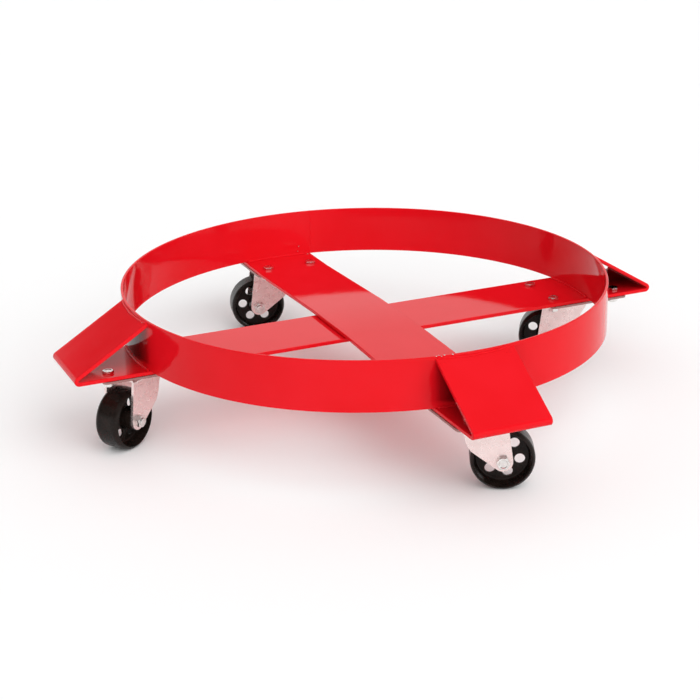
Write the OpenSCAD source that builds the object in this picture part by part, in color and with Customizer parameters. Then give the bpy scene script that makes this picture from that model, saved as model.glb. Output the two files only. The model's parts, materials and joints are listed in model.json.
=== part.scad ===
// Drum dolly: a rolled steel ring on two crossed flat bars.
// Each bar end folds back up to the ring as an arm, and a swivel caster is bolted under it.
// The floor is at z = 0, the ring is centred on the Z axis, and the arms point along X and Y.

/* [Ring] */
// Inside diameter of the ring, which the drum stands in
ring_inner_d = 616; // [560:2:640]
// Thickness of the ring's steel
ring_wall = 3.2; // [2.5:0.1:5]
// Height of the ring band
ring_h = 63.5; // [50:0.5:80]

/* [Cross bars] */
// Width of each flat bar
bar_w = 100; // [90:1:110]
// Thickness of the flat bar
bar_t = 4.8; // [4:0.1:6]
// Distance from the centre to the tip of each folded arm
arm_tip_r = 401; // [395:1:420]
// Outside radius of the fold at the arm's tip
fold_r = 6; // [5.5:0.5:9]
// How far the arm's top face meets the ring below the ring's rim
arm_drop = 4; // [3.5:0.5:8]
// Gap between the two bars where one passes over the other
bar_gap = 1; // [0.5:0.1:2]

/* [Casters] */
// Overall height of a caster, from the floor to the top of its plate
caster_h = 100; // [98:1:106]
// Wheel diameter
wheel_d = 76.2; // [72:0.2:78]
// Wheel tread width
wheel_w = 35; // [30:0.5:36]
// Horizontal distance from the swivel axis to the axle
trail = 32; // [28:0.2:34]
// Distance from the ring's centre to each swivel axis
swivel_r = 308.3; // [300:0.1:312]
// Length of the caster plate along the arm
plate_l = 114.3; // [110:0.1:118]
// Width of the caster plate across the arm
plate_w = 101.6; // [100:0.1:106]
// Bolt spacing along the arm
bolt_pitch_l = 92.3; // [90:0.1:95]
// Bolt spacing across the arm
bolt_pitch_w = 63.5; // [62:0.1:67]

/* [Resting caster angles] */
// Direction of the front caster's trail, from +X
front_yaw = -25; // [-180:0.1:180]
// Direction of the left caster's trail, from +X
left_yaw = 215.5; // [0:0.1:360]
// Direction of the rear caster's trail, from +X
rear_yaw = 168; // [0:0.1:360]
// Direction of the right caster's trail, from +X
right_yaw = 149; // [0:0.1:360]

/* [Hidden] */
$fn = 48;

// Where each caster sits round the ring, the direction it trails, and its wheel's turn
PLACES = ["front", "left", "rear", "right"];
STATION = [-90, 180, 90, 0];
YAW = [front_yaw, left_yaw, rear_yaw, right_yaw];
HOLE_PHASE = [48, 5, 120.9, 146];

// Heights of the frame
eps = 0.01;
bar_z = caster_h;
bar_top = bar_z + bar_t;
ring_top = bar_top + ring_h;
ring_in = ring_inner_d / 2;
ring_out = ring_in + ring_wall;
bow_rise = bar_t + bar_gap;
bow_half = bar_w / 2 + 6;
bow_foot = 240;
bar_flat = 200;
seam_angle = 80.5;
seam_w = 2.4;
seam_proud = 0.5;
foot_bead = 3.2;
top_bead = 3.2;
bead_back = 6;
bar_half_angle = asin(bar_w / 2 / ring_out);

// Hex fasteners: across corners from across flats
function corners(flats) = flats / cos(30);
bolt_d = 7.9;
bolt_hole_d = 8.6;
bolt_flats = 12.7;
bolt_head_h = 3.2;
nut_h = 6.7;
washer_d = 14.2;
washer_t = 1.8;
washer_slit = 1.6;
washer_fit = 0.25;
thread_fit = 0.03;
thread_proud = 1.6;

// Swivel bearing: two rows of balls, one on each side of the fork's crown
plate_t = 3;
plate_corner_r = 6;
race_lip_r = 27;
race_lip_t = 1.8;
race_lip_gap = 0.6;
ball_d = 6.35;
upper_ball_r = 21;
upper_ball_n = 18;
lower_ball_d = 4.76;
lower_ball_r = 12;
lower_ball_n = 14;
ball_fit = 0.05;
pin_d = 10;
pin_sink = 1.5;
pin_head_d = 13;
crown_hole_d = 11.4;
crown_gap = 4.2;
crown_t = 3.2;
crown_r = 27.5;
crown_top = caster_h - plate_t - crown_gap;
crown_z = crown_top - crown_t;
upper_ball_z = caster_h - plate_t - crown_gap / 2;
lower_ball_z = crown_z - 1.1;
race_t = 2.6;
race_top = lower_ball_z - 1.1;
race_r = 17;
pin_foot_d = 17;
pin_foot_h = 3;

// Fork and axle
leg_in = 19;
leg_t = 3.2;
leg_out = leg_in + leg_t;
bend_r = 6;
axle_z = wheel_d / 2;
axle_d = 9.52;
axle_fit = 0.04;
axle_end_r = 11.5;
axle_flats = 14.3;
axle_head_h = 5.4;
axle_nut_h = 6;
axle_proud = 2;
sleeve_d = 14;
run_fit = 0.06;

// Wheel section
hub_d = 25;
hub_w = 2 * leg_in - 1.2;
web_t = 2.6;
rim_inner_r = 33.4;
rim_fillet = 2.4;
rim_draft = 1.6;
hub_fillet = 2.5;
shoulder_r = 7;
shoulder_from = 66;
wheel_hole_d = 12.4;
wheel_hole_r = 21;
wheel_hole_n = 6;

// The slot where the rolled band's two ends meet
module seam_slot(grow) {
    rotate([0, 0, seam_angle])
        translate([ring_in - 5, -seam_w / 2, bar_top - grow])
            cube([ring_wall + 10, seam_w, ring_h + 2 * grow]);
}

module ring_band() {
    color("red")
        difference() {
            translate([0, 0, bar_top])
                cylinder(h = ring_h, r = ring_out, $fn = 180);
            translate([0, 0, bar_top - 1])
                cylinder(h = ring_h + 2, r = ring_in, $fn = 180);
            seam_slot(1);
        }
}

module ring_seam_weld() {
    color("red")
        intersection() {
            seam_slot(0);
            translate([0, 0, bar_top])
                difference() {
                    cylinder(h = ring_h, r = ring_out + seam_proud, $fn = 180);
                    translate([0, 0, -1])
                        cylinder(h = ring_h + 2, r = ring_in - seam_proud, $fn = 180);
                }
        }
}

// Side view of one folded arm: the fold's centre, and the slope of the plate that
// comes back from the fold's top to the ring
fold_c = [arm_tip_r - fold_r, bar_z + fold_r];
arm_top = [ring_out, ring_top - arm_drop];
to_fold = fold_c - arm_top;
arm_slope = atan2(to_fold[1], to_fold[0]) + asin(fold_r / norm(to_fold));
arm_dir = [cos(arm_slope), sin(arm_slope)];
arm_up = [-sin(arm_slope), cos(arm_slope)];
arm_run = 4;

// Points of an arc about a centre
function arc(c, r, from, to, steps) =
    [for (i = [0:steps]) c + r * [cos(from + (to - from) * i / steps),
                                  sin(from + (to - from) * i / steps)]];

// Outline of the folded arm from its flat, round the fold and up the slope.
// It starts inside the ring's radius, and the ring's cylinder trims the plate's end.
module arm_outline(start) {
    top_end = arm_top - arm_run * arm_dir;
    difference() {
        union() {
            translate([start, bar_z])
                square([fold_c[0] - start, bar_t]);
            polygon([top_end, fold_c + fold_r * arm_up,
                     fold_c + (fold_r - bar_t) * arm_up, top_end - bar_t * arm_up]);
            intersection() {
                translate(fold_c)
                    circle(r = fold_r);
                polygon([fold_c, fold_c + [0, -2 * fold_r], fold_c + [2 * fold_r, -2 * fold_r],
                         fold_c + [2 * fold_r, 2 * fold_r], fold_c + 2 * fold_r * arm_up]);
            }
        }
        translate(fold_c)
            circle(r = fold_r - bar_t);
    }
}

// Both arms of one bar, along X
module arm_pair(start) {
    for (side = [0, 180])
        rotate([0, 0, side])
            difference() {
                rotate([90, 0, 0])
                    translate([0, 0, -bar_w / 2])
                        linear_extrude(height = bar_w)
                            arm_outline(start);
                translate([0, 0, bar_top])
                    cylinder(h = ring_h, r = ring_out, $fn = 180);
            }
}

// The four holes of a caster plate, drilled through everything above and below it
module plate_holes(d) {
    for (i = [-1, 1], j = [-1, 1])
        translate([i * bolt_pitch_l / 2, j * bolt_pitch_w / 2, caster_h - 20])
            cylinder(h = 40, d = d);
}

module bar_holes() {
    for (side = [0, 180])
        rotate([0, 0, side])
            translate([swivel_r, 0, 0])
                plate_holes(bolt_hole_d);
}

module lower_cross_bar() {
    color("red")
        difference() {
            union() {
                arm_pair(bar_flat);
                translate([-bar_flat - eps, -bar_w / 2, bar_z])
                    cube([2 * (bar_flat + eps), bar_w, bar_t]);
            }
            bar_holes();
        }
}

module upper_cross_bar() {
    color("red")
        rotate([0, 0, 90])
            difference() {
                union() {
                    arm_pair(bow_foot);
                    rotate([90, 0, 0])
                        translate([0, 0, -bar_w / 2])
                            linear_extrude(height = bar_w)
                                bow_outline();
                }
                bar_holes();
            }
}

// The upper bar rises in two shallow ramps to pass over the lower bar
module bow_outline() {
    up = [0, bow_rise];
    foot = [bow_foot + eps, bar_z];
    crest = [bow_half, bar_z] + up;
    polygon([foot, foot + [0, bar_t], crest + [0, bar_t],
             [-crest[0], crest[1] + bar_t], [-foot[0], bar_top],
             [-foot[0], bar_z], [-crest[0], crest[1]], crest]);
}

// Fillet beads where the ring stands on the bars, outside and inside
module ring_foot_welds() {
    color("red")
        for (station = STATION) {
            foot_bead_arc(station, ring_out, foot_bead, bar_half_angle - 0.4);
            foot_bead_arc(station, ring_in, -foot_bead, bar_half_angle - 0.4);
        }
}

module foot_bead_arc(station, r, leg, half) {
    rotate([0, 0, station - half])
        rotate_extrude(angle = 2 * half)
            translate([r, bar_top])
                polygon([[0, 0], [leg, 0], [0, abs(leg)]]);
}

// Fillet beads where each arm's top face meets the ring's outer wall.
// The cope in the arm's end follows the ring, so the bead rides up as it leaves the middle.
module arm_top_welds() {
    color("red")
        for (station = STATION)
            rotate([0, 0, station])
                difference() {
                    rotate([90, 0, 0])
                        translate([0, 0, -bar_w / 2])
                            linear_extrude(height = bar_w)
                                translate(arm_top)
                                    rotate(arm_slope)
                                        translate([-bead_back, 0])
                                            square([bead_back + top_bead, top_bead / 2]);
                    translate([0, 0, bar_top - 1])
                        cylinder(h = ring_h + 20, r = ring_out, $fn = 180);
                }
}

// Places a caster's pieces under one arm. The frame's pieces square with the arm.
module at_station(i) {
    rotate([0, 0, STATION[i]])
        translate([swivel_r, 0, 0])
            children();
}

// The swivelling pieces take the caster's resting direction, with +X as the trail
module at_swivel(i) {
    rotate([0, 0, STATION[i]])
        translate([swivel_r, 0, 0])
            rotate([0, 0, YAW[i] - STATION[i]])
                children();
}

// A round groove for a row of balls
module ball_groove(row_r, z, d) {
    translate([0, 0, z])
        rotate_extrude($fn = 96)
            translate([row_r, 0])
                circle(d = d);
}

module rounded_plate(l, w, r) {
    union() {
        square([l - 2 * r, w], center = true);
        square([l, w - 2 * r], center = true);
        for (i = [-1, 1], j = [-1, 1])
            translate([i * (l / 2 - r), j * (w / 2 - r)])
                circle(r = r);
    }
}

// A flat plate with a round skirt pressed down over the upper row of balls
module caster_plate() {
    lip_z = crown_top + race_lip_gap;
    color("gainsboro")
        difference() {
            union() {
                translate([0, 0, caster_h - plate_t])
                    linear_extrude(height = plate_t)
                        rounded_plate(plate_l, plate_w, plate_corner_r);
                translate([0, 0, lip_z])
                    cylinder(h = caster_h - plate_t - lip_z + eps, r = race_lip_r, $fn = 96);
            }
            translate([0, 0, lip_z - 1])
                cylinder(h = caster_h - plate_t - lip_z + 1, r = race_lip_r - race_lip_t,
                         $fn = 96);
            plate_holes(bolt_hole_d);
            translate([0, 0, caster_h - plate_t - 1])
                cylinder(h = plate_t + 2, d = pin_d);
            translate([0, 0, caster_h - pin_sink])
                cylinder(h = 2 * pin_sink, d1 = pin_d, d2 = 2 * pin_head_d - pin_d);
            ball_groove(upper_ball_r, upper_ball_z, ball_d + 2 * ball_fit);
        }
}

// Countersunk head in the plate, plain shank, and a riveted foot under the lower race
module king_pin() {
    foot_z = race_top - race_t;
    color("silver")
        union() {
            translate([0, 0, foot_z - eps])
                cylinder(h = caster_h - foot_z, d = pin_d);
            translate([0, 0, caster_h - pin_sink])
                cylinder(h = pin_sink, d1 = pin_d, d2 = pin_head_d);
            translate([0, 0, foot_z - pin_foot_h])
                cylinder(h = pin_foot_h, d1 = pin_foot_d - 4, d2 = pin_foot_d);
        }
}

// Dished washer that carries the lower row of balls
module lower_race() {
    color("darkgray")
        difference() {
            translate([0, 0, race_top - race_t])
                cylinder(h = race_t, r = race_r);
            translate([0, 0, race_top - race_t - 1])
                cylinder(h = race_t + 2, d = pin_d);
            ball_groove(lower_ball_r, lower_ball_z, lower_ball_d + 2 * ball_fit);
        }
}

module ball_row(row_r, z, d, n) {
    for (k = [0:n - 1])
        rotate([0, 0, 360 * k / n])
            translate([row_r, 0, z])
                sphere(d = d, $fn = 24);
}

module swivel_balls() {
    color("white") {
        ball_row(upper_ball_r, upper_ball_z, ball_d, upper_ball_n);
        ball_row(lower_ball_r, lower_ball_z, lower_ball_d, lower_ball_n);
    }
}

// Cross-section of the pressed fork: a roof with rounded bends and two straight legs
module fork_section(half_w, top, r) {
    translate([-half_w, 0])
        square([2 * half_w, top - r]);
    translate([-half_w + r, 0])
        square([2 * (half_w - r), top]);
    for (side = [-1, 1])
        translate([side * (half_w - r), top - r])
            circle(r = r);
}

// Side view of a leg: raked trailing edge, round end at the axle, and a long slant in front
module leg_outline() {
    axle = [trail, axle_z];
    polygon(concat(
        [[trail + 4.5, crown_top], [trail + axle_end_r, axle_z + 3]],
        arc(axle, axle_end_r, -3, -128, 12),
        [[-6, axle_z + 14.5], [-11, axle_z + 24], [-14, axle_z + 38],
         [-20, crown_z - 4], [-20, crown_top]]));
}

module fork() {
    color("lightgray")
        difference() {
            union() {
                intersection() {
                    translate([-40, 0, 0])
                        rotate([90, 0, 90])
                            linear_extrude(height = 100)
                                difference() {
                                    fork_section(leg_out, crown_top, bend_r);
                                    translate([0, -1])
                                        fork_section(leg_in, crown_z + 1, bend_r - leg_t);
                                }
                    translate([0, 50, 0])
                        rotate([90, 0, 0])
                            linear_extrude(height = 100)
                                leg_outline();
                }
                translate([0, 0, crown_z])
                    cylinder(h = crown_t, r = crown_r, $fn = 72);
            }
            translate([0, 0, crown_z - 1])
                cylinder(h = crown_t + 2, d = crown_hole_d);
            ball_groove(upper_ball_r, upper_ball_z, ball_d + 2 * ball_fit);
            ball_groove(lower_ball_r, lower_ball_z, lower_ball_d + 2 * ball_fit);
            translate([trail, 50, axle_z])
                rotate([90, 0, 0])
                    cylinder(h = 100, d = axle_d + 2 * axle_fit);
        }
}

// Lays a piece along the axle, which runs across the fork
module on_axle() {
    translate([trail, 0, axle_z])
        rotate([90, 0, 0])
            children();
}

module axle_sleeve() {
    color("silver")
        on_axle()
            difference() {
                translate([0, 0, -leg_in])
                    cylinder(h = 2 * leg_in, d = sleeve_d);
                translate([0, 0, -leg_in - 1])
                    cylinder(h = 2 * leg_in + 2, d = axle_d + 2 * axle_fit);
            }
}

module axle_bolt() {
    color("silver")
        on_axle()
            union() {
                translate([0, 0, -leg_out - axle_nut_h - axle_proud])
                    cylinder(h = 2 * leg_out + axle_nut_h + axle_proud + eps, d = axle_d);
                translate([0, 0, leg_out])
                    cylinder(h = axle_head_h, d = corners(axle_flats), $fn = 6);
            }
}

module axle_nut() {
    color("silver")
        on_axle()
            difference() {
                translate([0, 0, -leg_out - axle_nut_h])
                    cylinder(h = axle_nut_h, d = corners(axle_flats), $fn = 6);
                translate([0, 0, -leg_out - axle_nut_h - 1])
                    cylinder(h = axle_nut_h + 2, d = axle_d + 2 * axle_fit);
            }
}

// The wheel's section: a rim with a flat tread and round shoulders, a thin web and a hub
module wheel_outline() {
    half = wheel_w / 2;
    shoulder_c = [wheel_d / 2 - shoulder_r, half - shoulder_r];
    upper = concat(
        [[sleeve_d / 2 + run_fit, hub_w / 2], [hub_d / 2, hub_w / 2],
         [hub_d / 2, web_t / 2 + hub_fillet], [hub_d / 2 + hub_fillet, web_t / 2],
         [rim_inner_r - rim_fillet, web_t / 2], [rim_inner_r - rim_draft, web_t / 2 + rim_fillet],
         [rim_inner_r, half - rim_draft]],
        arc(shoulder_c, shoulder_r, shoulder_from, 0, 12));
    last = len(upper) - 1;
    polygon(concat(upper, [for (i = [last:-1:0]) [upper[i][0], -upper[i][1]]]));
}

module wheel(i) {
    color("#1c1a19")
        on_axle()
            difference() {
                rotate_extrude($fn = 96)
                    wheel_outline();
                for (k = [0:wheel_hole_n - 1])
                    rotate([0, 0, HOLE_PHASE[i] + 360 * k / wheel_hole_n])
                        translate([wheel_hole_r, 0, -web_t])
                            cylinder(h = 2 * web_t, d = wheel_hole_d, $fn = 32);
            }
}

module mounting_bolts() {
    foot_z = caster_h - plate_t - washer_t - nut_h - thread_proud;
    color("silver")
        for (i = [-1, 1], j = [-1, 1])
            translate([i * bolt_pitch_l / 2, j * bolt_pitch_w / 2, 0])
                union() {
                    translate([0, 0, foot_z])
                        cylinder(h = bar_top - foot_z + eps, d = bolt_d);
                    translate([0, 0, bar_top])
                        cylinder(h = bolt_head_h, d = corners(bolt_flats), $fn = 6);
                }
}

module lock_washers() {
    color("silver")
        for (i = [-1, 1], j = [-1, 1])
            translate([i * bolt_pitch_l / 2, j * bolt_pitch_w / 2, caster_h - plate_t - washer_t])
                difference() {
                    cylinder(h = washer_t, d = washer_d);
                    translate([0, 0, -1])
                        cylinder(h = washer_t + 2, d = bolt_d + 2 * washer_fit);
                    translate([0, -washer_slit / 2, -1])
                        cube([washer_d, washer_slit, washer_t + 2]);
                }
}

module mounting_nuts() {
    color("silver")
        for (i = [-1, 1], j = [-1, 1])
            translate([i * bolt_pitch_l / 2, j * bolt_pitch_w / 2,
                       caster_h - plate_t - washer_t - nut_h])
                difference() {
                    cylinder(h = nut_h, d = corners(bolt_flats), $fn = 6);
                    translate([0, 0, -1])
                        cylinder(h = nut_h + 2, d = bolt_d + 2 * thread_fit);
                }
}

ring_band();
ring_seam_weld();
lower_cross_bar();
upper_cross_bar();
ring_foot_welds();
arm_top_welds();
for (i = [0:3]) {
    place = PLACES[i];
    at_station(i) caster_plate();
    at_station(i) king_pin();
    at_station(i) lower_race();
    at_station(i) mounting_bolts();
    at_station(i) lock_washers();
    at_station(i) mounting_nuts();
    at_swivel(i) swivel_balls();
    at_swivel(i) fork();
    at_swivel(i) axle_sleeve();
    at_swivel(i) axle_bolt();
    at_swivel(i) axle_nut();
    at_swivel(i) wheel(i);
}
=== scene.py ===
import json
import math
import random

import bmesh
import bpy
from mathutils import Matrix, Vector

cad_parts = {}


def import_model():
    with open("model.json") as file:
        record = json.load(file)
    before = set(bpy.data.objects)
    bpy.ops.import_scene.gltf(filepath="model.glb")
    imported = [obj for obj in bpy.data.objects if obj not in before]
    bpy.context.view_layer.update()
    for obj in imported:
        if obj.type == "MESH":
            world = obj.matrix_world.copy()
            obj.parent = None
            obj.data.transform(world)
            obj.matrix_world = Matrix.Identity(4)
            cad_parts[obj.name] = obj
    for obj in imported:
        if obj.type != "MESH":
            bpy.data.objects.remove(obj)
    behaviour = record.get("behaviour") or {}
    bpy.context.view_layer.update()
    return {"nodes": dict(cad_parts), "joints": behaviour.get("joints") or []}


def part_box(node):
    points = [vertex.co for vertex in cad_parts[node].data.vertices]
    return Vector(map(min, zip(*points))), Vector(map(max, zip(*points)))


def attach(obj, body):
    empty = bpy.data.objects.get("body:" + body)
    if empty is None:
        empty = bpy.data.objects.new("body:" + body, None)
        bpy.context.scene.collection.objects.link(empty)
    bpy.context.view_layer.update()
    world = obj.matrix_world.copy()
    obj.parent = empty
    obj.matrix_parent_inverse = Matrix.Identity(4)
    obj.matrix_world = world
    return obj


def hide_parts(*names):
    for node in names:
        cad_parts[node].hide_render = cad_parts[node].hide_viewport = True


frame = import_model()

MM = 0.001
PLACES = ("front", "left", "rear", "right")


# ---- Sizes, measured from the frame where it holds them ----

def radii(node):
    """Smallest and largest distance of a node's points from the ring's axis."""
    found = [math.hypot(v.co.x, v.co.y) for v in frame["nodes"][node].data.vertices]
    return min(found), max(found)


RING_IN, RING_OUT = radii("ring_band")
RING_LO, RING_HI = (corner.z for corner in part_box("ring_band"))
BAR_LO, BAR_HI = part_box("lower_cross_bar")
BAR_Z = BAR_LO.z
BAR_T = RING_LO - BAR_Z
BAR_HALF = BAR_HI.y
ARM_TIP = BAR_HI.x
FOLD_R = 6 * MM
ARM_DROP = 4 * MM
BAR_GAP = 1 * MM
BOW_HALF = BAR_HALF + 6 * MM
BOW_FOOT = 240 * MM
SEAM_ANGLE = math.radians(80.5)
SEAM_HALF = 1.2 * MM

JOINTS = {j["name"]: j for j in frame["joints"]}
AXLE_Z = JOINTS["front_wheel_spin"]["pos_m"][2]
WHEEL_R = AXLE_Z
CROWN_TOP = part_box("front_fork")[1].z
CROWN_T = 3.2 * MM
CROWN_R = 27.5 * MM
LEG_IN = 19 * MM
LEG_OUT = LEG_IN + CROWN_T
BEND_R = 6 * MM
AXLE_END_R = 11.5 * MM
AXLE_D = 9.52 * MM
AXLE_FLATS = 14.3 * MM
BOLT_FLATS = 12.7 * MM
BOLT_D = 7.9 * MM
BOLT_L = 92.3 * MM
BOLT_W = 63.5 * MM
WHEEL_HALF = 17.5 * MM
HOLE_PHASE = {"front": 48.0, "left": 5.0, "rear": 120.9, "right": 146.0}

FOLD_C = Vector((ARM_TIP - FOLD_R, BAR_Z + FOLD_R))
ARM_TOP = Vector((RING_OUT, RING_HI - ARM_DROP))
TO_FOLD = FOLD_C - ARM_TOP
SLOPE = math.atan2(TO_FOLD.y, TO_FOLD.x) + math.asin(FOLD_R / TO_FOLD.length)
ARM_DIR = Vector((math.cos(SLOPE), math.sin(SLOPE)))
ARM_UP = Vector((-math.sin(SLOPE), math.cos(SLOPE)))


# ---- Mesh tools ----

def polar(r, angle, z=0.0):
    """A point from its radius, its angle in radians and its height."""
    return Vector((r * math.cos(angle), r * math.sin(angle), z))


def turn(degrees, axis="Z"):
    """A rotation about one axis."""
    return Matrix.Rotation(math.radians(degrees), 4, axis)


def loft(bm, rings, wrap=False, place=Matrix()):
    """Skins closed rings of points in order. wrap joins the last ring to the first."""
    rows = [[bm.verts.new(place @ Vector(p)) for p in ring] for ring in rings]
    n = len(rows[0])
    pairs = list(zip(rows, rows[1:]))
    if wrap:
        pairs.append((rows[-1], rows[0]))
    for a, b in pairs:
        for i in range(n):
            j = (i + 1) % n
            bm.faces.new((a[i], a[j], b[j], b[i]))
    if not wrap:
        bm.faces.new(rows[0][::-1])
        bm.faces.new(rows[-1])


def arc(centre, r, start, end, steps):
    """Points of an arc in a plane, angles in degrees."""
    points = []
    for i in range(steps + 1):
        a = math.radians(start + (end - start) * i / steps)
        points.append((centre[0] + r * math.cos(a), centre[1] + r * math.sin(a)))
    return points


def revolve(bm, profile, steps):
    """Turns a closed (r, z) outline about Z."""
    loft(bm, [[polar(r, 2 * math.pi * k / steps, z) for r, z in profile] for k in range(steps)],
         True)


def solid_of_revolution(bm, profile, steps, place=Matrix()):
    """Turns an open (r, z) outline, from one point on the axis to another, about Z."""
    rings = [[polar(max(r, 1e-6), 2 * math.pi * k / steps, z) for k in range(steps)]
             for r, z in profile]
    loft(bm, rings, False, place)


def rounded_rectangle(x0, x1, y0, y1, r, steps):
    """Outline of a rectangle with round corners, anticlockwise."""
    return (arc((x1 - r, y0 + r), r, -90, 0, steps) + arc((x1 - r, y1 - r), r, 0, 90, steps)
            + arc((x0 + r, y1 - r), r, 90, 180, steps)
            + arc((x0 + r, y0 + r), r, 180, 270, steps))


def piece(name, bm, material, body, stands_for, bevel=0.0, sharp=35.0):
    """Turns a bmesh into a named piece that rides on a body and stands for CAD nodes."""
    bmesh.ops.recalc_face_normals(bm, faces=bm.faces[:])
    mesh = bpy.data.meshes.new(name)
    bm.to_mesh(mesh)
    bm.free()
    mesh.polygons.foreach_set("use_smooth", [True] * len(mesh.polygons))
    obj = bpy.data.objects.new(name, mesh)
    bpy.context.scene.collection.objects.link(obj)
    mesh.materials.append(material)
    finish_edges(obj, bevel, sharp)
    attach(obj, body)
    if stands_for:
        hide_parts(*stands_for)
    return obj


def finish_edges(obj, bevel, sharp):
    """Rounds the hard edges and keeps the flats flat."""
    if bevel:
        rounding = obj.modifiers.new("round", "BEVEL")
        rounding.width = bevel
        rounding.segments = 2
        rounding.limit_method = "ANGLE"
        rounding.angle_limit = math.radians(sharp)
    else:
        obj.data.set_sharp_from_angle(angle=math.radians(sharp))
    weighted = obj.modifiers.new("flats", "WEIGHTED_NORMAL")
    weighted.keep_sharp = True


def cut(obj, bm, operation="DIFFERENCE"):
    """Applies a boolean with a temporary solid, exactly."""
    bmesh.ops.recalc_face_normals(bm, faces=bm.faces[:])
    mesh = bpy.data.meshes.new("tool")
    bm.to_mesh(mesh)
    bm.free()
    tool = bpy.data.objects.new("tool", mesh)
    bpy.context.scene.collection.objects.link(tool)
    step = obj.modifiers.new("cut", "BOOLEAN")
    step.operation = operation
    step.solver = "EXACT"
    step.object = tool
    graph = bpy.context.evaluated_depsgraph_get()
    made = bpy.data.meshes.new_from_object(obj.evaluated_get(graph))
    obj.modifiers.remove(step)
    obj.data = made
    bpy.data.objects.remove(tool)


# ---- Materials ----

class Shader:
    """A Principled material and the few node calls that the materials below share."""

    def __init__(self, name, **constants):
        """Constants are set on the Principled shader's own sockets."""
        self.material = bpy.data.materials.new(name)
        self.material.use_nodes = True
        self.tree = self.material.node_tree
        self.bsdf = self.tree.nodes["Principled BSDF"]
        for socket, value in constants.items():
            self.bsdf.inputs[socket.replace("_", " ")].default_value = value
        self.place = self.tree.nodes.new("ShaderNodeTexCoord").outputs["Object"]

    def node(self, kind, **settings):
        """Adds a node with some of its settings."""
        made = self.tree.nodes.new(kind)
        for key, value in settings.items():
            setattr(made, key, value)
        return made

    def link(self, a, b):
        """Joins an output to an input."""
        self.tree.links.new(a, b)

    def noise(self, scale, detail=3.0, roughness=0.5):
        """Noise in object space, scale in features per metre."""
        texture = self.node("ShaderNodeTexNoise")
        texture.inputs["Scale"].default_value = scale
        texture.inputs["Detail"].default_value = detail
        texture.inputs["Roughness"].default_value = roughness
        self.link(self.place, texture.inputs["Vector"])
        return texture.outputs["Fac"]

    def ramp(self, factor, stops):
        """Colour stops over a factor."""
        made = self.node("ShaderNodeValToRGB")
        while len(made.color_ramp.elements) < len(stops):
            made.color_ramp.elements.new(0.5)
        for element, (at, colour) in zip(made.color_ramp.elements, stops):
            element.position = at
            element.color = (*colour, 1.0)
        self.link(factor, made.inputs["Fac"])
        return made.outputs["Color"]

    def math(self, operation, *values):
        """A Math node on sockets and plain numbers."""
        made = self.node("ShaderNodeMath", operation=operation)
        for slot, value in zip(made.inputs, values):
            if isinstance(value, (int, float)):
                slot.default_value = value
            else:
                self.link(value, slot)
        return made.outputs["Value"]

    def all_of(self, *factors):
        """The product of several factors."""
        product = factors[0]
        for factor in factors[1:]:
            product = self.math("MULTIPLY", product, factor)
        return product

    def position(self):
        """The point's x, y and z in metres."""
        split = self.node("ShaderNodeSeparateXYZ")
        self.link(self.place, split.inputs[0])
        return split.outputs

    def darken(self, colour, factor):
        """Scales a colour by a grey factor."""
        made = self.node("ShaderNodeMix", data_type="RGBA", blend_type="MULTIPLY")
        made.inputs["Factor"].default_value = 1.0
        self.link(colour, made.inputs["A"])
        self.link(factor, made.inputs["B"])
        return made.outputs["Result"]

    def spread(self, factor, low, high, lowest=0.3, highest=0.7):
        """Maps lowest..highest, by default a noise's middle range, to low..high."""
        made = self.node("ShaderNodeMapRange")
        made.inputs["From Min"].default_value = lowest
        made.inputs["From Max"].default_value = highest
        made.inputs["To Min"].default_value = low
        made.inputs["To Max"].default_value = high
        self.link(factor, made.inputs["Value"])
        return made.outputs["Result"]

    def bump(self, height, distance, under=None):
        """Adds a bump of the given depth in metres, over an earlier one."""
        made = self.node("ShaderNodeBump")
        made.inputs["Distance"].default_value = distance
        self.link(height, made.inputs["Height"])
        if under:
            self.link(under, made.inputs["Normal"])
        return made.outputs["Normal"]

    def finish(self, colour, roughness, normal):
        """Links the three outputs and gives the finished material."""
        self.link(colour, self.bsdf.inputs["Base Color"])
        self.link(roughness, self.bsdf.inputs["Roughness"])
        self.link(normal, self.bsdf.inputs["Normal"])
        return self.material


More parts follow.
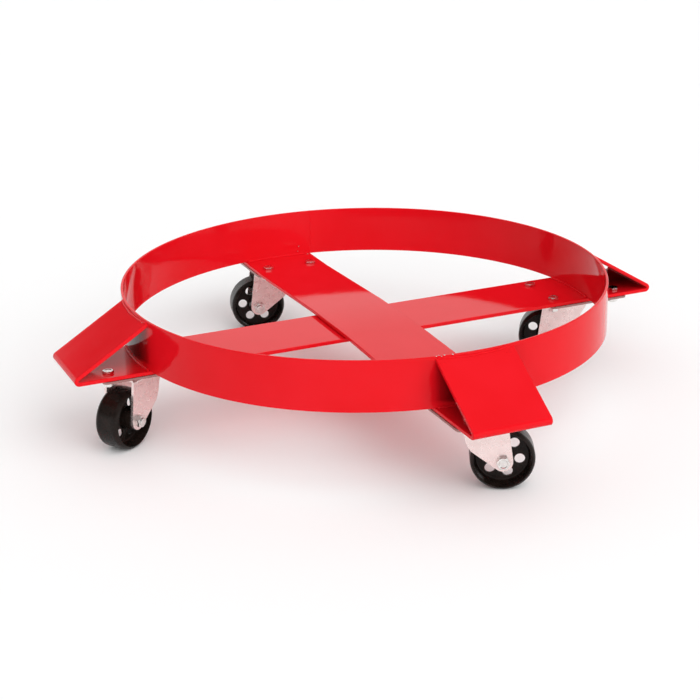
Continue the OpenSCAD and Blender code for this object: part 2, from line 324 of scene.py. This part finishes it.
def painted_tunnel_shade(s):
    """Painted shade: falls from 1 to near 0 into the tunnels under the arms, where shade falls.

    The left arm's own faces keep their full red inside, so only the ring's wall gets painted shade
    there.
    """
    x, y, z = s.position()
    # Off the left arm, the painted shade also darkens the arm's own faces.
    off_left_arm = s.math("GREATER_THAN", x, -RING_IN)
    x, y = s.math("ABSOLUTE", x), s.math("ABSOLUTE", y)
    along, across = s.math("MAXIMUM", x, y), s.math("MINIMUM", x, y)
    radius = s.math("SQRT", s.math("ADD", s.math("MULTIPLY", x, x), s.math("MULTIPLY", y, y)))
    roof = s.math("MULTIPLY_ADD", along, math.tan(SLOPE),
                  ARM_TOP.y - RING_OUT * math.tan(SLOPE) - 3 * MM)
    inside = s.all_of(s.math("LESS_THAN", z, roof),
                      s.math("GREATER_THAN", z, RING_LO - 0.5 * MM),
                      s.math("GREATER_THAN", radius, (RING_IN + RING_OUT) / 2),
                      s.math("LESS_THAN", along, ARM_TIP - BAR_T))
    above = s.math("MAXIMUM", s.math("MULTIPLY", off_left_arm, 0.4),
                   s.spread(z, 0.0, 1.0, RING_LO, RING_LO + 10 * MM))
    on_wall = s.math("LESS_THAN", radius, RING_OUT + 1 * MM)
    on_ceiling = s.all_of(off_left_arm, s.math("SUBTRACT", 1.0, on_wall),
                          s.math("GREATER_THAN", z, RING_LO + 3 * MM),
                          s.math("LESS_THAN", across, BAR_HALF - 1 * MM))
    fade = s.math("MULTIPLY", s.spread(across, 0.8, 0.0, 0.0, 1.4 * BAR_HALF),
                  s.math("MAXIMUM", on_wall, off_left_arm))
    greys = [(0.0, 1.0), (0.16, 0.92), (0.23, 0.80), (0.30, 0.50), (0.43, 0.28),
             (0.57, 0.17), (0.80, 0.11), (1.0, 0.02)]
    return s.ramp(s.all_of(inside, above, s.math("MAXIMUM", on_ceiling, fade)),
                  [(at, (grey, grey, grey)) for at, grey in greys])


def red_enamel():
    """High-gloss enamel: faint orange peel, a slow wave, slow colour drift, and painted shade in
    the tunnels under the arms.
    """
    s = Shader("red_enamel", IOR=1.22)
    drift = s.noise(14, 2)
    colour = s.ramp(drift, [(0.3, (0.70, 0.005, 0.010)), (0.7, (0.73, 0.007, 0.014))])
    # Painted shade: the colour is darkened in the tunnels under the arms.
    colour = s.darken(colour, painted_tunnel_shade(s))
    rough = s.spread(s.noise(60, 3), 0.045, 0.085)
    peel = s.bump(s.noise(420, 1.5), 0.00002)
    wave = s.bump(s.noise(22, 1), 0.00012, peel)
    return s.finish(colour, rough, wave)


def zinc():
    """Satin zinc plate on pressed steel: cloudy patches, a pink tint that is a painted reflection
    of the red frame, and a band of painted shade by the ball races, between the plate and the
    fork's crown.
    """
    s = Shader("zinc_plate", Metallic=0.85)
    cloud = s.noise(55, 4, 0.6)
    # The grey is the zinc's own colour; the pink in it is a painted reflection of the red frame
    # around the casters.
    colour = s.ramp(cloud, [(0.3, (0.84, 0.68, 0.66)), (0.7, (0.93, 0.78, 0.76))])
    # Painted shade: a dark band at the heights between the plate and the fork's crown, and a
    # lighter darkening on the plate's edge under the bar.
    shade_band_low, shade_band_high = 92 * MM, 100 * MM
    height = s.spread(s.position()[2], 0.0, 1.0, shade_band_low, shade_band_high)
    painted_shade_band = s.ramp(height, [(0.13, (1, 1, 1)), (0.17, (0.30, 0.25, 0.23)),
                             (0.55, (0.22, 0.19, 0.18)), (0.65, (0.40, 0.26, 0.25))])
    colour = s.darken(colour, painted_shade_band)
    rough = s.spread(s.noise(160, 4, 0.6), 0.22, 0.36)
    grain = s.bump(s.noise(1400, 2), 0.000012)
    return s.finish(colour, rough, s.bump(s.noise(70, 1), 0.00003, grain))


def bright_zinc():
    """Bright fastener plating with small tool marks."""
    s = Shader("bright_fastener", Metallic=1.0)
    colour = s.ramp(s.noise(220, 3), [(0.3, (0.70, 0.69, 0.67)), (0.7, (0.88, 0.87, 0.85))])
    rough = s.spread(s.noise(500, 3), 0.14, 0.30)
    return s.finish(colour, rough, s.bump(s.noise(900, 3), 0.00003))


def bearing_steel():
    """Ground steel with a thin film of grease that dulls it in places."""
    s = Shader("bearing_steel", Metallic=1.0)
    colour = s.ramp(s.noise(150, 3), [(0.35, (0.42, 0.38, 0.33)), (0.65, (0.74, 0.74, 0.75))])
    rough = s.spread(s.noise(260, 3), 0.10, 0.32)
    return s.finish(colour, rough, s.bump(s.noise(800, 2), 0.00002))


def wheel_black():
    """Moulded wheel: near-black, semi-gloss, with a soft mottle and a fine skin."""
    s = Shader("wheel_black", IOR=1.25)
    mottle = s.noise(70, 4, 0.6)
    colour = s.ramp(mottle, [(0.3, (0.006, 0.004, 0.003)), (0.7, (0.018, 0.011, 0.009))])
    rough = s.spread(s.noise(120, 4, 0.6), 0.20, 0.36)
    skin = s.bump(s.noise(1800, 2), 0.00002)
    return s.finish(colour, rough, s.bump(s.noise(60, 2), 0.0001, skin))


RED = red_enamel()
ZINC = zinc()
BRIGHT = bright_zinc()
STEEL = bearing_steel()
BLACK = wheel_black()


# ---- The ring ----

def ring_band():
    """The rolled band, a hair out of true, open at its seam."""
    profile = rounded_rectangle(RING_IN, RING_OUT, RING_LO, RING_HI, 0.9 * MM, 4)
    gap = SEAM_HALF / RING_OUT
    steps = 360
    rings = []
    for k in range(steps + 1):
        a = SEAM_ANGLE + gap + (2 * math.pi - 2 * gap) * k / steps
        wave = 0.08 * MM * (math.sin(5 * a + 0.6) + math.sin(8 * a + 2.1))
        rings.append([polar(r + wave, a, z) for r, z in profile])
    bm = bmesh.new()
    loft(bm, rings)
    piece("ring_rolled_band", bm, RED, "frame", ["ring_band"])


def ring_seam_weld():
    """The butt weld that closes the band, standing a little proud of both faces."""
    rng = random.Random(3)
    middle = (RING_IN + RING_OUT) / 2
    half_wall = (RING_OUT - RING_IN) / 2
    rows = 44
    rings = []
    for k in range(rows + 1):
        t = k / rows
        z = RING_LO + (RING_HI - RING_LO) * t
        end = min(1.0, 8 * min(t, 1 - t) + 0.55)
        proud = (0.05 + 0.03 * math.sin(k * 2.1) + 0.02 * rng.random()) * MM * end
        width = (1.5 + 0.1 * math.sin(k * 1.3)) * MM
        ring = []
        for i in range(16):
            a = 2 * math.pi * i / 16
            out = math.copysign(abs(math.cos(a)) ** 0.4, math.cos(a))
            across = math.copysign(abs(math.sin(a)) ** 0.7, math.sin(a))
            radial = middle + (half_wall + proud) * out
            side = width * across / RING_OUT
            ring.append(polar(radial, SEAM_ANGLE + side, z))
        rings.append(ring)
    bm = bmesh.new()
    loft(bm, rings)
    piece("ring_seam_bead", bm, RED, "frame", ["ring_seam_weld"])


# ---- The cross bars and their folded arms ----

def arm_path():
    """Stations from the flat, round the fold and up to the ring: point, inward normal, swell."""
    stations = []
    turn_by = math.degrees(SLOPE) + 180
    steps = 14
    for i in range(steps + 1):
        a = math.radians(-90 + turn_by * i / steps)
        out = Vector((math.cos(a), math.sin(a)))
        stations.append((FOLD_C + FOLD_R * out, -out, math.sin(math.pi * i / steps)))
    stations.append((ARM_TOP + 12 * MM * ARM_DIR, -ARM_UP, 0.0))
    stations.append((ARM_TOP, -ARM_UP, 0.0))
    return stations


def bar_section():
    """Outline of the bar's section: across its width, and through its thickness."""
    r = 0.9 * MM
    columns = 16
    flat = [-BAR_HALF + r + (2 * BAR_HALF - 2 * r) * i / columns for i in range(1, columns)]
    return (arc((BAR_HALF - r, r), r, -90, 0, 4) + arc((BAR_HALF - r, BAR_T - r), r, 0, 90, 4)
            + [(u, BAR_T) for u in flat[::-1]]
            + arc((-BAR_HALF + r, BAR_T - r), r, 90, 180, 4)
            + arc((-BAR_HALF + r, r), r, 180, 270, 4) + [(u, 0.0) for u in flat])


def cross_bar(name, node, flat_stations, place):
    """Sweeps the section from one arm's end, along the bar, to the other arm's end."""
    outward = flat_stations + arm_path()
    mirrored = [(Vector((-p.x, p.y)), Vector((-n.x, n.y)), swell) for p, n, swell in outward]
    stations = mirrored[::-1] + outward[1:]
    section = bar_section()
    rings = []
    for k, (point, inward, swell) in enumerate(stations):
        side = -1 if point.x < 0 else 1
        at_ring = k in (0, len(stations) - 1)
        ring = []
        for u, v in section:
            bulge = 0.7 * MM * swell * (v / BAR_T) * (u / BAR_HALF) ** 5
            p = point + v * inward
            if at_ring:
                reach = math.sqrt((RING_OUT - 0.05 * MM) ** 2 - u * u)
                run = (reach - abs(p.x)) / ARM_DIR.x
                p = p + run * Vector((side * ARM_DIR.x, ARM_DIR.y))
            ring.append((p.x, u + bulge, p.y))
        rings.append(ring)
    bm = bmesh.new()
    loft(bm, rings, False, place)
    piece(name, bm, RED, "frame", [node])


def cross_bars():
    """The level lower bar, and the upper bar bowed over it."""
    up = Vector((0, 1))
    rise = BAR_T + BAR_GAP
    level = [(Vector((x * MM, BAR_Z)), up, 0.0) for x in (0, 100, 200, 300)]
    bowed = [(Vector((0, BAR_Z + rise)), up, 0.0), (Vector((BOW_HALF, BAR_Z + rise)), up, 0.0),
             (Vector((BOW_FOOT, BAR_Z)), up, 0.0), (Vector((300 * MM, BAR_Z)), up, 0.0)]
    cross_bar("lower_bar_and_arms", "lower_cross_bar", level, Matrix())
    cross_bar("upper_bar_and_arms", "upper_cross_bar", bowed, turn(90))


# ---- Weld beads ----

RIPPLE_PITCH = 2.6 * MM


def bead(bm, centres, outs, ups, r, rng):
    """A rippled weld bead along a line of centres, round in section and closed at its ends."""
    length = 0.0
    rings = []
    total = sum((b - a).length for a, b in zip(centres, centres[1:]))
    for k, c in enumerate(centres):
        if k:
            length += (c - centres[k - 1]).length
        ripple = 0.13 * abs(math.sin(math.pi * length / RIPPLE_PITCH))
        from_end = min(length, total - length) / (2.5 * MM)
        end = math.sqrt(max(0.04, 1 - (1 - min(1.0, from_end)) ** 2))
        size = r * end * (0.9 + ripple + 0.06 * rng.random())
        rings.append([c + size * (math.cos(a) * outs[k] + math.sin(a) * ups[k])
                      for a in (2 * math.pi * i / 12 for i in range(12))])
    loft(bm, rings)


def blob(bm, at, r, rng, as_highlight=False):
    """A spatter drop, slightly flattened, in the red paint, or in bright metal as a painted
    highlight.
    """
    made = bmesh.ops.create_icosphere(bm, subdivisions=2, radius=r)
    if as_highlight:
        for face in {f for v in made["verts"] for f in v.link_faces}:
            face.material_index = 1
    squash = Vector((1.0, 0.8 + 0.3 * rng.random(), 0.7 + 0.2 * rng.random()))
    for v in made["verts"]:
        v.co = at + Vector((v.co.x * squash.x, v.co.y * squash.y, v.co.z * squash.z))


def ring_foot_welds():
    """Fillet beads where the ring stands on the bars, outside and inside."""
    rng = random.Random(11)
    bm = bmesh.new()
    half = math.asin(BAR_HALF / RING_OUT) - 0.008
    steps = 170
    for station in range(4):
        for radius, side in ((RING_OUT, 1), (RING_IN, -1)):
            centres, outs = [], []
            for k in range(steps + 1):
                a = station * math.pi / 2 - half + 2 * half * k / steps
                centres.append(polar(radius + side * 0.7 * MM, a, RING_LO + 0.7 * MM))
                outs.append(polar(side, a))
            bead(bm, centres, outs, [Vector((0, 0, 1))] * (steps + 1), 1.7 * MM, rng)
    piece("ring_foot_beads", bm, RED, "frame", ["ring_foot_welds"])


# Bright metal drops as painted highlights and painted reflections, by the arms' top corners and on
# the rear ring wall: angle in degrees, then radius and height in mm
HIGHLIGHT_DROPS = ((-99.0, 310.8, 168.2), (-98.4, 309.2, 168.3), (-97.9, 311.2, 167.6),
              (-97.2, 310.0, 168.3), (-95.4, 310.6, 168.2), (188.0, 311.6, 165.6),
              (187.2, 312.4, 164.6), (185.8, 311.8, 165.8), (83.9, 307.6, 117.0),
              (84.2, 307.6, 109.5), (81.7, 303.4, 105.3))


def arm_top_welds():
    """Beads where each arm's top face meets the ring, with a little spatter by the corners, and
    bright drops as painted highlights.
    """
    rng = random.Random(7)
    bm = bmesh.new()
    steps = 150
    half = BAR_HALF - 1.5 * MM
    for station in range(4):
        place = turn(90 * station)
        centres, outs, ups = [], [], []
        for k in range(steps + 1):
            u = -half + 2 * half * k / steps
            x = math.sqrt(RING_OUT ** 2 - u * u)
            z = ARM_TOP.y + (x - RING_OUT) * math.tan(SLOPE)
            drift = 0.25 * MM * math.sin(9 * u / half + station)
            centres.append(place @ Vector((x + 0.5 * MM + drift, u, z - 0.3 * MM)))
            outs.append(place @ Vector((ARM_DIR.x, 0, ARM_DIR.y)))
            ups.append(place @ Vector((ARM_UP.x, 0, ARM_UP.y)))
        bead(bm, centres, outs, ups, 1.4 * MM, rng)
        for corner in (-1, 1):
            for _ in range(5):
                u = corner * (half - rng.random() * 16 * MM)
                x = math.sqrt(RING_OUT ** 2 - u * u) + rng.random() * 8 * MM
                z = ARM_TOP.y + (x - RING_OUT) * math.tan(SLOPE)
                blob(bm, place @ Vector((x, u, z)), (0.4 + 0.5 * rng.random()) * MM, rng)
    # The bright drops are painted highlights: glints on the welds, and reflections of the bolt
    # heads in the ring wall.
    for angle, r, z in HIGHLIGHT_DROPS:
        blob(bm, polar(r * MM, math.radians(angle), z * MM), (0.7 + 0.5 * rng.random()) * MM,
             rng, True)
    beads = piece("arm_top_beads", bm, RED, "frame", ["arm_top_welds"])
    beads.data.materials.append(BRIGHT)


# ---- Fasteners ----

def hex_radius(angle, flats):
    """Distance from a hexagon's centre to its edge, with a corner at angle 0."""
    return flats / 2 / math.cos(angle % (math.pi / 3) - math.pi / 6)


def hex_solid(bm, flats, z0, z1, place, chamfer_low=True, bore=None, dish=0.0):
    """A hexagon with coned corners, with a flat foot, a hole or a dished top if asked."""
    n = 48
    angles = [2 * math.pi * k / n for k in range(n)]
    disc = flats / 2 * 0.96
    cone = math.tan(math.radians(30))

    def level(z, sign):
        """The hexagon, lifted or sunk at its corners by the cone."""
        return [polar(hex_radius(a, flats), a, z + sign * (hex_radius(a, flats) - disc) * cone)
                for a in angles]

    def circle(r, z):
        """A circle at one height."""
        return [polar(r, a, z) for a in angles]

    rings = []
    rings += [circle(disc, z0), level(z0, 1)] if chamfer_low else [level(z0, 0)]
    rings += [level(z1, -1), circle(disc, z1)]
    if dish:
        lip, hollow = 0.78 * disc, 0.66 * disc
        rings += [circle(lip, z1), circle(hollow, z1 - dish)]
    if bore:
        loft(bm, [circle(bore, z0)] + rings + [circle(bore, z1)], True, place)
    else:
        loft(bm, rings, False, place)


def threaded_end(r, z_tip, z_end, pitch):
    """(r, z) outline of a threaded tip pointing down, then a plain shank up to z_end."""
    points = [(0.0, z_tip), (r - 0.9 * MM, z_tip)]
    z = z_tip + 0.6 * MM
    while z < z_end - 2 * pitch and len(points) < 26:
        points += [(r, z), (r - 0.45 * pitch, z + pitch / 2)]
        z += pitch
    return points + [(r, z), (r, z_end), (0.0, z_end)]


def bolt_places():
    """The four bolts' centres, along and across the arm."""
    return [(i * BOLT_L / 2, j * BOLT_W / 2) for i in (-1, 1) for j in (-1, 1)]


def mounting_bolts(place_name, place):
    """Four hex bolts, each a dished head on a round collar, over a threaded shank."""
    tip, head = (corner.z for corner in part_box(f"{place_name}_mounting_bolts"))
    bar_top = BAR_Z + BAR_T
    collar_r, collar_h = 5.9 * MM, 0.5 * MM
    rng = random.Random(20 + PLACES.index(place_name))
    bm = bmesh.new()
    for x, y in bolt_places():
        here = place @ Matrix.Translation((x, y, 0)) @ turn(60 * rng.random())
        hex_solid(bm, BOLT_FLATS, bar_top + 0.35 * MM, head, here, False, dish=0.45 * MM)
        solid_of_revolution(bm, [(0, bar_top), (collar_r, bar_top),
                                 (collar_r, bar_top + collar_h), (0, bar_top + collar_h)],
                            40, here)
        outline = threaded_end(BOLT_D / 2, tip, bar_top + 0.1 * MM, 1.25 * MM)
        solid_of_revolution(bm, outline, 32, here)
    piece(f"{place_name}_bolt_set", bm, BRIGHT, "frame",
          [f"{place_name}_mounting_bolts"], 0.18 * MM)


def mounting_nuts(place_name, place):
    """Four plain hex nuts under the plate."""
    low, high = (corner.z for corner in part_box(f"{place_name}_mounting_nuts"))
    bm = bmesh.new()
    for k, (x, y) in enumerate(bolt_places()):
        here = place @ Matrix.Translation((x, y, 0)) @ turn(13 * k)
        hex_solid(bm, BOLT_FLATS, low, high, here, bore=BOLT_D / 2 + 0.03 * MM)
    piece(f"{place_name}_nut_set", bm, BRIGHT, "frame",
          [f"{place_name}_mounting_nuts"], 0.15 * MM)


def lock_washers(place_name, place):
    """Split spring washers, each a flat-sided coil of a little under one turn."""
    low, high = (corner.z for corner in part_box(f"{place_name}_lock_washers"))
    bm = bmesh.new()
    r0, r1 = 4.2 * MM, 7.1 * MM
    first, sweep = 7, 346
    for k, (x, y) in enumerate(bolt_places()):
        here = place @ Matrix.Translation((x, y, 0)) @ turn(40 * k)
        rings = []
        steps = 48
        for i in range(steps + 1):
            a = math.radians(first + sweep * i / steps)
            lift = 0.2 * MM * (i / steps - 0.5)
            outline = rounded_rectangle(r0, r1, low + 0.1 * MM, high - 0.1 * MM, 0.25 * MM, 2)
            rings.append([polar(r, a, z + lift) for r, z in outline])
        loft(bm, rings, False, here)
    piece(f"{place_name}_spring_washers", bm, BRIGHT, "frame",
          [f"{place_name}_lock_washers"])


def axle_hardware(place_name, axle):
    """The axle bolt, its head on one side of the fork, and the nut on the other."""
    body = f"{place_name}_caster"
    bm = bmesh.new()
    head_h = 5.4 * MM
    nut_h = 6 * MM
    collar_r, collar_h = 6.7 * MM, 0.6 * MM
    hex_solid(bm, AXLE_FLATS, LEG_OUT + 0.4 * MM, LEG_OUT + head_h, axle, False, dish=0.9 * MM)
    solid_of_revolution(bm, [(0, LEG_OUT), (collar_r, LEG_OUT), (collar_r, LEG_OUT + collar_h),
                             (0, LEG_OUT + collar_h)], 40, axle)
    outline = threaded_end(AXLE_D / 2, -LEG_OUT - nut_h - 2 * MM, LEG_OUT + 0.1 * MM, 1.5 * MM)
    solid_of_revolution(bm, outline, 40, axle)
    piece(f"{place_name}_axle_hex_bolt", bm, BRIGHT, body,
          [f"{place_name}_axle_bolt"], 0.2 * MM)
    bm = bmesh.new()
    hex_solid(bm, AXLE_FLATS, -LEG_OUT - nut_h, -LEG_OUT, axle @ turn(20),
              bore=AXLE_D / 2 + 0.04 * MM)
    piece(f"{place_name}_axle_hex_nut", bm, BRIGHT, body,
          [f"{place_name}_axle_nut"], 0.18 * MM)


# ---- Casters ----

def leg_edges(trail):
    """Heights down a leg, with the front and back edges' positions at each.

    The last straight point of each edge meets the leg's round end.
    """
    crown_z = CROWN_TOP - CROWN_T
    front = [(-20, CROWN_TOP), (-20, crown_z - 4 * MM), (-14, AXLE_Z + 38 * MM),
             (-11, AXLE_Z + 24 * MM), (-6, AXLE_Z + 14.5 * MM)]
    front = [(x * MM, z) for x, z in front]
    low_a = math.radians(-128)
    tangent = (trail + AXLE_END_R * math.cos(low_a), AXLE_Z + AXLE_END_R * math.sin(low_a))
    front.append(tangent)
    back = [(trail + 4.5 * MM, CROWN_TOP), (trail + AXLE_END_R, AXLE_Z + 3 * MM),
            (trail + AXLE_END_R, AXLE_Z)]

    def along(points, z):
        """An edge's position at one height, past its straight part on the round end."""
        for (xa, za), (xb, zb) in zip(points, points[1:]):
            if za >= z >= zb:
                return xa + (xb - xa) * (za - z) / (za - zb)
        drop = max(0.0, AXLE_END_R ** 2 - (z - AXLE_Z) ** 2)
        return trail + math.copysign(math.sqrt(drop), 1 if points is back else -1)

    straight = [CROWN_TOP - BEND_R - (CROWN_TOP - BEND_R - AXLE_Z) * i / 14 for i in range(15)]
    round_end = [AXLE_Z - AXLE_END_R * math.sin(math.radians(90 * i / 14)) for i in range(1, 15)]
    return [(z, along(front, z), along(back, z)) for z in straight + round_end], along, front, back


def fork_shell(trail):
    """The pressed fork: one sheet bent over into two legs, as a closed shell of quads."""
    rows, along, front, back = leg_edges(trail)
    columns = 18
    section = []
    for side in (1, -1):
        half = []
        for i in range(9):
            a = math.radians(90 * i / 8)
            outer, inner = ((LEG_OUT - BEND_R + r * math.sin(a),
                             CROWN_TOP - BEND_R + r * math.cos(a))
                            for r in (BEND_R, BEND_R - CROWN_T))
            half.append((outer, inner, outer[1]))
        for z, _, _ in rows[1:]:
            half.append(((LEG_OUT, z), (LEG_IN, z), z))
        section.append([((side * o[0], o[1]), (side * i[0], i[1]), z) for o, i, z in half])
    spine = section[1][::-1] + section[0]
    bm = bmesh.new()
    outer_rows, inner_rows = [], []
    for outer, inner, z in spine:
        lo, hi = along(front, min(z, CROWN_TOP)), along(back, min(z, CROWN_TOP))
        if hi - lo < 0.2 * MM:
            lo, hi = trail - 0.1 * MM, trail + 0.1 * MM
        xs = [lo + (hi - lo) * c / columns for c in range(columns + 1)]
        outer_rows.append([bm.verts.new((x, outer[0], outer[1])) for x in xs])
        inner_rows.append([bm.verts.new((x, inner[0], inner[1])) for x in xs])
    for skin in (outer_rows, inner_rows):
        for a, b in zip(skin, skin[1:]):
            for i in range(columns):
                bm.faces.new((a[i], a[i + 1], b[i + 1], b[i]))
    for k in range(len(spine) - 1):
        for c in (0, columns):
            bm.faces.new((outer_rows[k][c], outer_rows[k + 1][c],
                          inner_rows[k + 1][c], inner_rows[k][c]))
    for k in (0, -1):
        for i in range(columns):
            bm.faces.new((outer_rows[k][i], outer_rows[k][i + 1],
                          inner_rows[k][i + 1], inner_rows[k][i]))
    return bm


def caster_fork(place_name, place, trail):
    """The bent sheet joined to its round crown, with the king pin's hole through both."""
    bm = fork_shell(trail)
    fork = piece(f"{place_name}_pressed_fork", bm, ZINC, f"{place_name}_caster",
                 [f"{place_name}_fork"])
    fork.modifiers.clear()
    crown_z = CROWN_TOP - CROWN_T
    disc = bmesh.new()
    r = 0.8 * MM
    outline = ([(0, crown_z)] + arc((CROWN_R - r, crown_z + r), r, -90, 0, 4)
               + arc((CROWN_R - r, CROWN_TOP - r), r, 0, 90, 4) + [(0, CROWN_TOP)])
    solid_of_revolution(disc, outline, 96)
    cut(fork, disc, "UNION")
    hole = bmesh.new()
    hole_r, past = 5.7 * MM, 10 * MM
    solid_of_revolution(hole, [(0, crown_z - past), (hole_r, crown_z - past),
                               (hole_r, CROWN_TOP + past), (0, CROWN_TOP + past)], 48)
    cut(fork, hole)
    fork.data.transform(place)
    finish_edges(fork, 0.45 * MM, 40.0)


def wheel(place_name, axle):
    """The moulded wheel, turned about its axle, then drilled with its six holes."""
    half = WHEEL_HALF
    hole_r, hole_at, hole_deep = 6.2 * MM, 21 * MM, 4 * MM
    shoulder = 7 * MM
    bore = 7.06 * MM
    hub_r, hub_half = 12.5 * MM, 18.4 * MM
    hub_edge, hub_foot = 0.6 * MM, 2.5 * MM
    web = 1.3 * MM
    rim, rim_foot = 33.4 * MM, 2.4 * MM
    upper = [(bore, hub_half - 0.4 * MM), (bore + 0.4 * MM, hub_half),
             (hub_r - hub_edge, hub_half)]
    upper += arc((hub_r - hub_edge, hub_half - hub_edge), hub_edge, 60, 0, 2)
    upper += arc((hub_r + hub_foot, web + hub_foot), hub_foot, 180, 270, 5)
    upper += arc((rim - 4.0 * MM, web + rim_foot), rim_foot, -90, -8, 5)
    upper += [(rim - 0.1 * MM, half - 1.9 * MM), (rim + 0.1 * MM, half - 1.2 * MM)]
    upper += arc((WHEEL_R - shoulder, half - shoulder), shoulder, 66, 2, 12)
    upper += [(WHEEL_R, half - shoulder - 0.4 * MM), (WHEEL_R - 0.02 * MM, 0.5 * MM),
              (WHEEL_R, 0.15 * MM)]
    profile = upper + [(r, -z) for r, z in upper[::-1]]
    bm = bmesh.new()
    revolve(bm, profile, 144)
    body = piece(f"{place_name}_moulded_wheel", bm, BLACK, f"{place_name}_roller",
                 [f"{place_name}_wheel"])
    body.modifiers.clear()
    drill = bmesh.new()
    for k in range(6):
        here = turn(HOLE_PHASE[place_name] + 60 * k) @ Matrix.Translation((hole_at, 0, 0))
        solid_of_revolution(drill, [(0, -hole_deep), (hole_r, -hole_deep), (hole_r, hole_deep),
                                    (0, hole_deep)], 40, here)
    cut(body, drill)
    body.data.transform(axle)
    finish_edges(body, 0.35 * MM, 50.0)


def dress(node, material, bevel=0.0):
    """Gives a CAD node that keeps its shape a material, and softens its hard edges."""
    obj = frame["nodes"][node]
    obj.data.materials.clear()
    obj.data.materials.append(material)
    if bevel:
        weld = obj.modifiers.new("weld", "WELD")
        weld.merge_threshold = 1e-6
        flat = obj.modifiers.new("flat", "DECIMATE")
        flat.decimate_type = "DISSOLVE"
        flat.angle_limit = math.radians(0.5)
        finish = obj.modifiers.new("round", "BEVEL")
        finish.width = bevel
        finish.segments = 2
        finish.limit_method = "ANGLE"
        finish.angle_limit = math.radians(40)
        finish.harden_normals = True


def caster(place_name):
    """One caster at its resting angle: the hardware on the frame, then what swivels and rolls."""
    pivot = Vector(JOINTS[f"{place_name}_swivel"]["pos_m"])
    axle_at = Vector(JOINTS[f"{place_name}_wheel_spin"]["pos_m"])
    station = math.degrees(math.atan2(pivot.y, pivot.x))
    reach = axle_at - pivot
    yaw = math.degrees(math.atan2(reach.y, reach.x))
    trail = math.hypot(reach.x, reach.y)
    centre = Matrix.Translation((pivot.x, pivot.y, 0))
    on_frame = centre @ turn(station)
    on_swivel = centre @ turn(yaw)
    axle = on_swivel @ Matrix.Translation((trail, 0, AXLE_Z)) @ turn(90, "X")
    mounting_bolts(place_name, on_frame)
    mounting_nuts(place_name, on_frame)
    lock_washers(place_name, on_frame)
    caster_fork(place_name, on_swivel, trail)
    wheel(place_name, axle)
    axle_hardware(place_name, axle)
    dress(f"{place_name}_caster_plate", ZINC, 0.35 * MM)
    dress(f"{place_name}_king_pin", BRIGHT)
    dress(f"{place_name}_lower_race", ZINC)
    dress(f"{place_name}_swivel_balls", STEEL)
    dress(f"{place_name}_axle_sleeve", STEEL)


# ---- Stage, camera and light ----

def floor():
    """A plain pale floor."""
    bm = bmesh.new()
    bmesh.ops.create_grid(bm, x_segments=1, y_segments=1, size=14)
    mesh = bpy.data.meshes.new("floor")
    bm.to_mesh(mesh)
    bm.free()
    obj = bpy.data.objects.new("floor", mesh)
    bpy.context.scene.collection.objects.link(obj)
    paint = Shader("floor_paint", Base_Color=(0.93, 0.93, 0.93, 1), Roughness=0.9)
    obj.data.materials.append(paint.material)


def camera():
    """The photographer's place: above the ring's front left, with a long lens.

    The angles, the lens and the eye's place from the ring's centre in metres were fitted together.
    """
    azimuth, elevation, roll = math.radians(-23.426), math.radians(20.526), math.radians(-1.0216)
    centre = Vector((0, 0, (RING_LO + RING_HI) / 2))
    eye = Vector((-0.88725, -1.99777, 0.74688))
    back = Vector((math.sin(azimuth) * math.cos(elevation),
                   -math.cos(azimuth) * math.cos(elevation), math.sin(elevation)))
    right = Vector((math.cos(azimuth), math.sin(azimuth), 0))
    up = back.cross(right)
    tilted_right = math.cos(roll) * right + math.sin(roll) * up
    tilted_up = -math.sin(roll) * right + math.cos(roll) * up
    data = bpy.data.cameras.new("camera")
    data.lens = 91.97
    data.sensor_width = 36
    obj = bpy.data.objects.new("camera", data)
    place = Matrix((tilted_right, tilted_up, back)).transposed().to_4x4()
    place.translation = centre + eye
    obj.matrix_world = place
    bpy.context.scene.collection.objects.link(obj)
    bpy.context.scene.camera = obj


def sun(name, towards, spread, strength):
    """A very soft far light, lighting the surfaces but not seen in their reflections."""
    data = bpy.data.lights.new(name, "SUN")
    data.angle = math.radians(spread)
    data.energy = strength
    obj = bpy.data.objects.new(name, data)
    obj.rotation_mode = "QUATERNION"
    obj.rotation_quaternion = Vector(towards).to_track_quat("Z", "Y")
    obj.visible_glossy = False
    bpy.context.scene.collection.objects.link(obj)


def world():
    """What the gloss reflects: a white wall, higher on the right, then dark, then a ceiling."""
    made = bpy.data.worlds.new("studio")
    made.use_nodes = True
    tree = made.node_tree
    tilt = tree.nodes.new("ShaderNodeVectorMath")
    tilt.operation = "DOT_PRODUCT"
    tilt.inputs[1].default_value = (-0.15, 0.0, 1.0)
    tree.links.new(tree.nodes.new("ShaderNodeTexCoord").outputs["Generated"], tilt.inputs[0])
    fade = tree.nodes.new("ShaderNodeValToRGB")
    stops = [(0.366, 0.95), (0.390, 0.12), (0.62, 0.12), (0.90, 0.45)]
    while len(fade.color_ramp.elements) < len(stops):
        fade.color_ramp.elements.new(0.5)
    for element, (at, level) in zip(fade.color_ramp.elements, stops):
        element.position = at
        element.color = (level, level, level, 1)
    tree.links.new(tilt.outputs["Value"], fade.inputs["Fac"])
    tree.links.new(fade.outputs["Color"], tree.nodes["Background"].inputs["Color"])
    tree.nodes["Background"].inputs["Strength"].default_value = 1.2
    bpy.context.scene.world = made
    made.cycles_visibility.diffuse = False


def studio():
    """Soft light from the front and above."""
    world()
    sun("key", (0.32, -0.63, 0.71), 50, 0.95)
    sun("front_fill", (-0.24, -0.87, 0.42), 60, 1.15)
    sun("overhead", (0.05, -0.15, 1.0), 150, 2.3)
    bpy.context.scene.view_settings.view_transform = "Standard"


camera()
ring_band()
ring_seam_weld()
cross_bars()
ring_foot_welds()
arm_top_welds()
for each in PLACES:
    caster(each)
floor()
studio()
